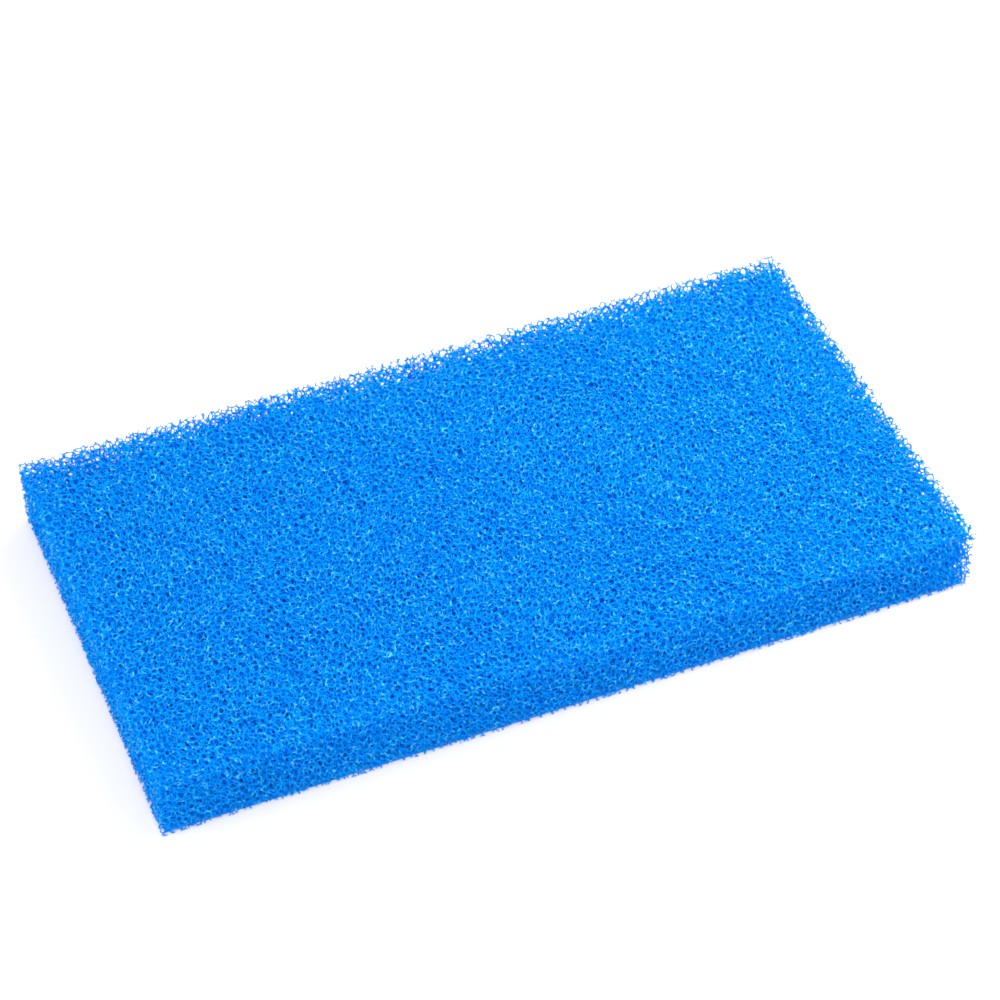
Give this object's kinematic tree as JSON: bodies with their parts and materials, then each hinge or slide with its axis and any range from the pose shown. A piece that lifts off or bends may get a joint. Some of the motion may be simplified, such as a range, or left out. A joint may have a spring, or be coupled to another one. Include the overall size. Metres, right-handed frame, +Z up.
{
  "type": "sponge filter pad",
  "caption": "Flat rectangular pad of coarse blue open-cell foam, cut square on every side, that strains dirt from the water in an aquarium or pond filter.",
  "frame": {"origin": "middle of the underside, the face that lies on the filter's grid or tray", "axes": "+X along the length, +Y across the width, +Z up through the thickness"},
  "size_m": [0.28, 0.15, 0.025],
  "materials": {
    "filter_foam": "azure blue reticulated polyurethane foam, dyed through, matt with a faint gloss on each strand"
  },
  "bodies": {
    "root": {"foam_pad": "filter_foam"}
  },
  "joints": []
}
